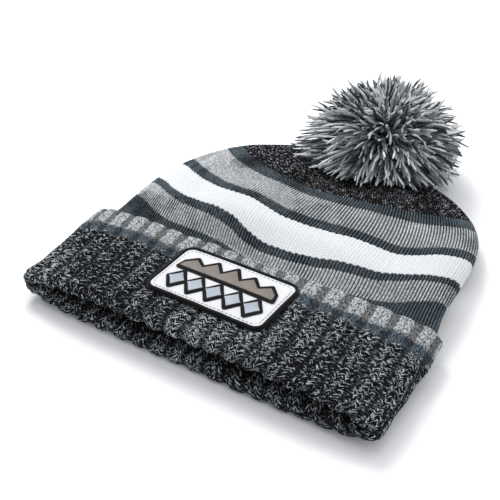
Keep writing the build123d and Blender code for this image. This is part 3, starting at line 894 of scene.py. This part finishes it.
# strands that meet the crown or the table lie on it, some on top of others
pile = shuffle.uniform(0.9, 5.0, (STRANDS, 1)) * (0.5 + 0.5 * share[None])
_, _, crown_z = body_heights(strand[..., 0], np.minimum(strand[..., 1], HAT_LENGTH))
spread = ((strand[..., 0] - middle(strand[..., 1])) / BODY_WIDTH * 2) ** 2 + crown_share(strand[..., 1])
over_crown = (spread < 0.99) & (strand[..., 1] < HAT_LENGTH)
floor_z = np.where(over_crown, crown_z + 1.0, YARN_RADIUS + 0.1)
resting = strand[..., 2] < floor_z + pile
strand[..., 2] = np.where(resting, floor_z + pile, strand[..., 2])
draped = (resting & over_crown).any(axis=1)
for _ in range(2):
    strand[:, 1:-1] = 0.25 * strand[:, :-2] + 0.5 * strand[:, 1:-1] + 0.25 * strand[:, 2:]
strand = np.clip(strand, (-POM_SIDE, 0.0, YARN_RADIUS + 0.1), (POM_SIDE, POM_BACK, POM_TOP))

tangent = np.gradient(strand, axis=1)
tangent /= np.maximum(np.linalg.norm(tangent, axis=-1, keepdims=True), 1e-9)
side_a = np.cross(tangent, np.broadcast_to(sway_b[:, None], tangent.shape))
side_a /= np.maximum(np.linalg.norm(side_a, axis=-1, keepdims=True), 1e-9)
side_b = np.cross(tangent, side_a)
taper = np.interp(share, (0, 0.8, 0.97, 1), (0.85, 1, 1.12, 0.55))
girth = YARN_RADIUS * shuffle.uniform(0.78, 1.12, (STRANDS, 1)) * taper
around = np.linspace(0, math.tau, STRAND_SIDES, endpoint=False)
tube = strand[:, :, None] + girth[..., None, None] * (
    np.cos(around)[:, None] * side_a[:, :, None] + np.sin(around)[:, None] * side_b[:, :, None])
walked = share[None] * cut[:, None]


def yarn_material(name, dark, light):
    """Soft plied yarn: a slanting groove between plies with painted shade in it, fibres, and slightly uneven
    dyeing.
    """
    yarn = Shader(name, 0.95, 0.12)
    turn_at, along_at = yarn.knit_uv()
    ply = ((turn_at * 2.0 + along_at * 0.42).math("FRACT") - 0.5).math("ABSOLUTE") * 2.0
    fibre = yarn.noise(yarn.vector(turn_at * 6.0, along_at * 0.9), 1.0, 3.0, 0.6)
    tone = yarn.noise(yarn.place(), 45.0, 2.0)
    colour = yarn.mix(fibre * 0.5 + tone * 0.5, dark, light)
    # painted shade: the groove between plies is darkened in the colour
    colour = yarn.mix(ply.step(0.75, 1.0) * 0.4, colour, tuple(c * 0.4 for c in dark))
    return yarn.finish(colour, fibre * 0.6 - ply * 0.6, 0.7, 0.0006)


# colour, share of the strands, darkest and lightest tone
YARNS = [
    ("white", 0.30, (0.84, 0.85, 0.86), (0.97, 0.97, 0.97)),
    ("light_grey", 0.26, (0.42, 0.45, 0.47), (0.68, 0.71, 0.72)),
    ("mid_grey", 0.22, (0.12, 0.14, 0.155), (0.26, 0.29, 0.31)),
    ("slate", 0.22, (0.012, 0.016, 0.020), (0.045, 0.056, 0.066)),
]
dye = shuffle.permutation(STRANDS) / STRANDS
begin = 0.0
for colour_name, part, dark, light in YARNS:
    yarn = yarn_material(f"pom_yarn_{colour_name}", dark, light)
    of_colour = (dye >= begin) & (dye < begin + part)
    begin += part
    for group, chosen in (("ball", of_colour & ~draped), ("draped", of_colour & draped)):
        picked = np.nonzero(chosen)[0]
        points = tube[picked].reshape(-1, 3)
        uv = np.stack(np.broadcast_arrays(
            (around / math.tau * 2)[None, None, :], walked[picked][:, :, None]), -1).reshape(-1, 2)
        per_strand = STRAND_STEPS * STRAND_SIDES
        starts = np.arange(len(picked)) * per_strand
        faces = starts[:, None, None] + grid_faces(STRAND_STEPS, STRAND_SIDES, True)[None]
        cut_ends = (starts + per_strand - STRAND_SIDES)[:, None]
        cap_faces = np.concatenate([cut_ends + np.array([0, 1, 2, 3]), cut_ends + np.array([0, 3, 4, 5])])
        made = mesh_object(
            f"pom_{colour_name}_{group}", to_frame(points), np.vstack([faces.reshape(-1, 4), cap_faces]), uv)
        made.data.materials.append(yarn)
        if group == "ball":
            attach(made, "pom")
        else:
            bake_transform(made)
        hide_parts("pom_yarn")

# ---- Ties, washer, seam and label ----
# Small parts that hold the hat together: waxed thread through crown and pom, a felt washer and
# knot inside, the overlocked back seam, and a blank woven label.
def wound_material(name, dark, light, turns):
    """Thread lying side by side in close turns, with painted shade in the gaps between the turns."""
    wound = Shader(name, 0.6, 0.1)
    spot = wound.node("ShaderNodeSeparateXYZ", {"Vector": wound.place()})
    heights = [Sum(wound.tree, spot.socket.node.outputs[axis]) for axis in range(3)]
    slant = heights[0] * 0.35 + heights[1] * 0.8 + heights[2]
    strand_wave = ((slant * turns).math("FRACT") - 0.5).math("ABSOLUTE") * 2.0
    fuzz = wound.noise(wound.place(), 900.0, 3.0)
    # painted shade: the gaps between turns are darker in the colour, the crests lighter
    colour = wound.mix(strand_wave * 0.6 + fuzz * 0.4, dark, light)
    return wound.finish(colour, strand_wave + fuzz * 0.4, 0.8, 0.0003)


def felt_material(name, dark, light):
    """Pressed fibres lying every way."""
    felt = Shader(name, 0.95, 0.15)
    fibres = felt.noise(felt.place(), 700.0, 4.0, 0.65)
    patches = felt.noise(felt.place(), 60.0, 2.0)
    return felt.finish(felt.mix(fibres * 0.7 + patches * 0.3, dark, light), fibres, 0.7, 0.0004)


tie = wound_material("waxed_tie_thread", (0.008, 0.008, 0.010), (0.07, 0.07, 0.078), 900.0)
gather = wound_material("gathering_yarn", (0.005, 0.005, 0.006), (0.045, 0.046, 0.05), 620.0)
overlock = wound_material("overlock_thread", (0.010, 0.011, 0.013), (0.085, 0.09, 0.1), 520.0)
label_weave = wound_material("label_weave", (0.62, 0.62, 0.60), (0.82, 0.82, 0.80), 1500.0)
label_thread = wound_material("label_stitches", (0.20, 0.24, 0.29), (0.42, 0.47, 0.53), 480.0)
for node, material in (
    ("pom_tie_cord", tie), ("pom_binding_thread", tie), ("inside_tie_knot", tie),
    ("crown_gather_yarn", gather), ("back_seam", overlock), ("care_label", label_weave),
    ("care_label_stitches", label_thread),
    ("inside_felt_washer", felt_material("washer_felt", (0.02, 0.02, 0.023), (0.09, 0.09, 0.1))),
    ("patch_backing", felt_material("backing_felt", (0.42, 0.42, 0.40), (0.62, 0.62, 0.60))),
    ("motif_black_outline", black_thread),
):
    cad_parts[node].data.materials.clear()
    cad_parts[node].data.materials.append(material)

# ---- Floor, light and camera ----
# A pale seamless table under large soft lights, seen from above, over the right side of the rim.
FLOOR_SIZE = 6.0
bpy.ops.mesh.primitive_plane_add(size=FLOOR_SIZE, location=(0, 0, 0))
floor = bpy.context.object
floor.name = "floor"
paper = Shader("pale_floor", 0.7, 0.0)
grain = paper.noise(paper.place(), 60.0, 3.0)
floor.data.materials.append(paper.finish(paper.mix(grain, (0.93, 0.93, 0.935), (0.95, 0.95, 0.955))))

for name, place, size, power, aim in (
    ("key_light", (-0.5, 0.30, 0.9), 0.45, 7.0, (0, 0, 0.02)),
    ("fill_light", (0.7, -0.5, 0.7), 0.9, 1.6, (0, 0, 0.02)),
    ("top_light", (0.05, 0.1, 1.2), 0.9, 2.6, (0, 0, 0)),
):
    light = bpy.data.lights.new(name, "AREA")
    light.energy, light.size = power, size
    lamp = bpy.data.objects.new(name, light)
    lamp.location = place
    lamp.rotation_euler = (Vector(aim) - Vector(place)).to_track_quat("-Z", "Y").to_euler()
    bpy.context.scene.collection.objects.link(lamp)

world = bpy.data.worlds.new("studio")
world.use_nodes = True
world.node_tree.nodes["Background"].inputs["Color"].default_value = (0.95, 0.97, 1.0, 1.0)
world.node_tree.nodes["Background"].inputs["Strength"].default_value = 0.68
bpy.context.scene.world = world
bpy.context.scene.view_settings.view_transform = "Standard"

AZIMUTH, ELEVATION, DISTANCE = math.radians(33.32), math.radians(33.89), 0.55765
target = Vector(to_frame((-16.08, 90.56, 15.0)))
back = Vector((
    math.sin(AZIMUTH) * math.cos(ELEVATION), -math.cos(AZIMUTH) * math.cos(ELEVATION), math.sin(ELEVATION)))
camera = bpy.data.objects.new("camera", bpy.data.cameras.new("camera"))
camera.data.lens = 71.1
camera.data.clip_start = 0.01
camera.location = target + back * DISTANCE
camera.rotation_euler = (-back).to_track_quat("-Z", "Y").to_euler()
bpy.context.scene.collection.objects.link(camera)
bpy.context.scene.camera = camera
